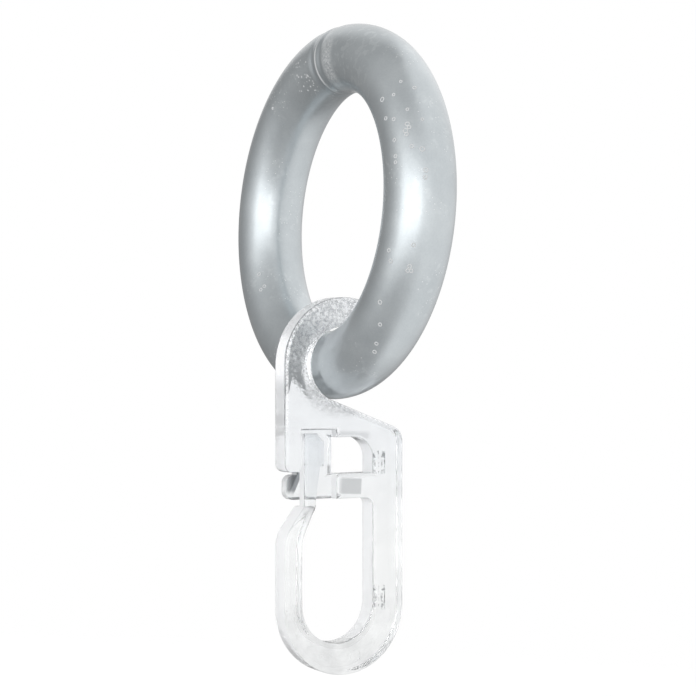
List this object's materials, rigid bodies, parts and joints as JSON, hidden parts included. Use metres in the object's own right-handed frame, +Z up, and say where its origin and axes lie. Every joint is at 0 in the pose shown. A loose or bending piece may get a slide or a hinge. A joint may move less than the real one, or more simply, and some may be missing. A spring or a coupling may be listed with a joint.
{
  "type": "curtain ring",
  "caption": "Round curtain ring of thick round section with a clear snap hook hanging from it by an open eye; the hook ends in a long loop for the curtain's tape.",
  "frame": {"origin": "centre of the ring, where the rod's axis passes", "axes": "+Y along the ring's axis, towards the hook's spine; +Z up, away from the hook; +X towards the hook's latch side"},
  "size_m": [0.044, 0.0172, 0.0758],
  "materials": {
    "ring_plastic": "satin silver-grey with a clear coat",
    "clear_plastic": "clear moulded plastic, spark-eroded texture round the eye"
  },
  "bodies": {
    "ring": {"ring": "ring_plastic"},
    "hook": {"hook": "clear_plastic"}
  },
  "joints": [
    {"name": "hook_swing", "type": "hinge", "parent": "ring", "child": "hook", "pos_m": [0.0019, 0, -0.0179], "axis": [1, 0, 0], "range_deg": [-155, 150]}
  ]
}
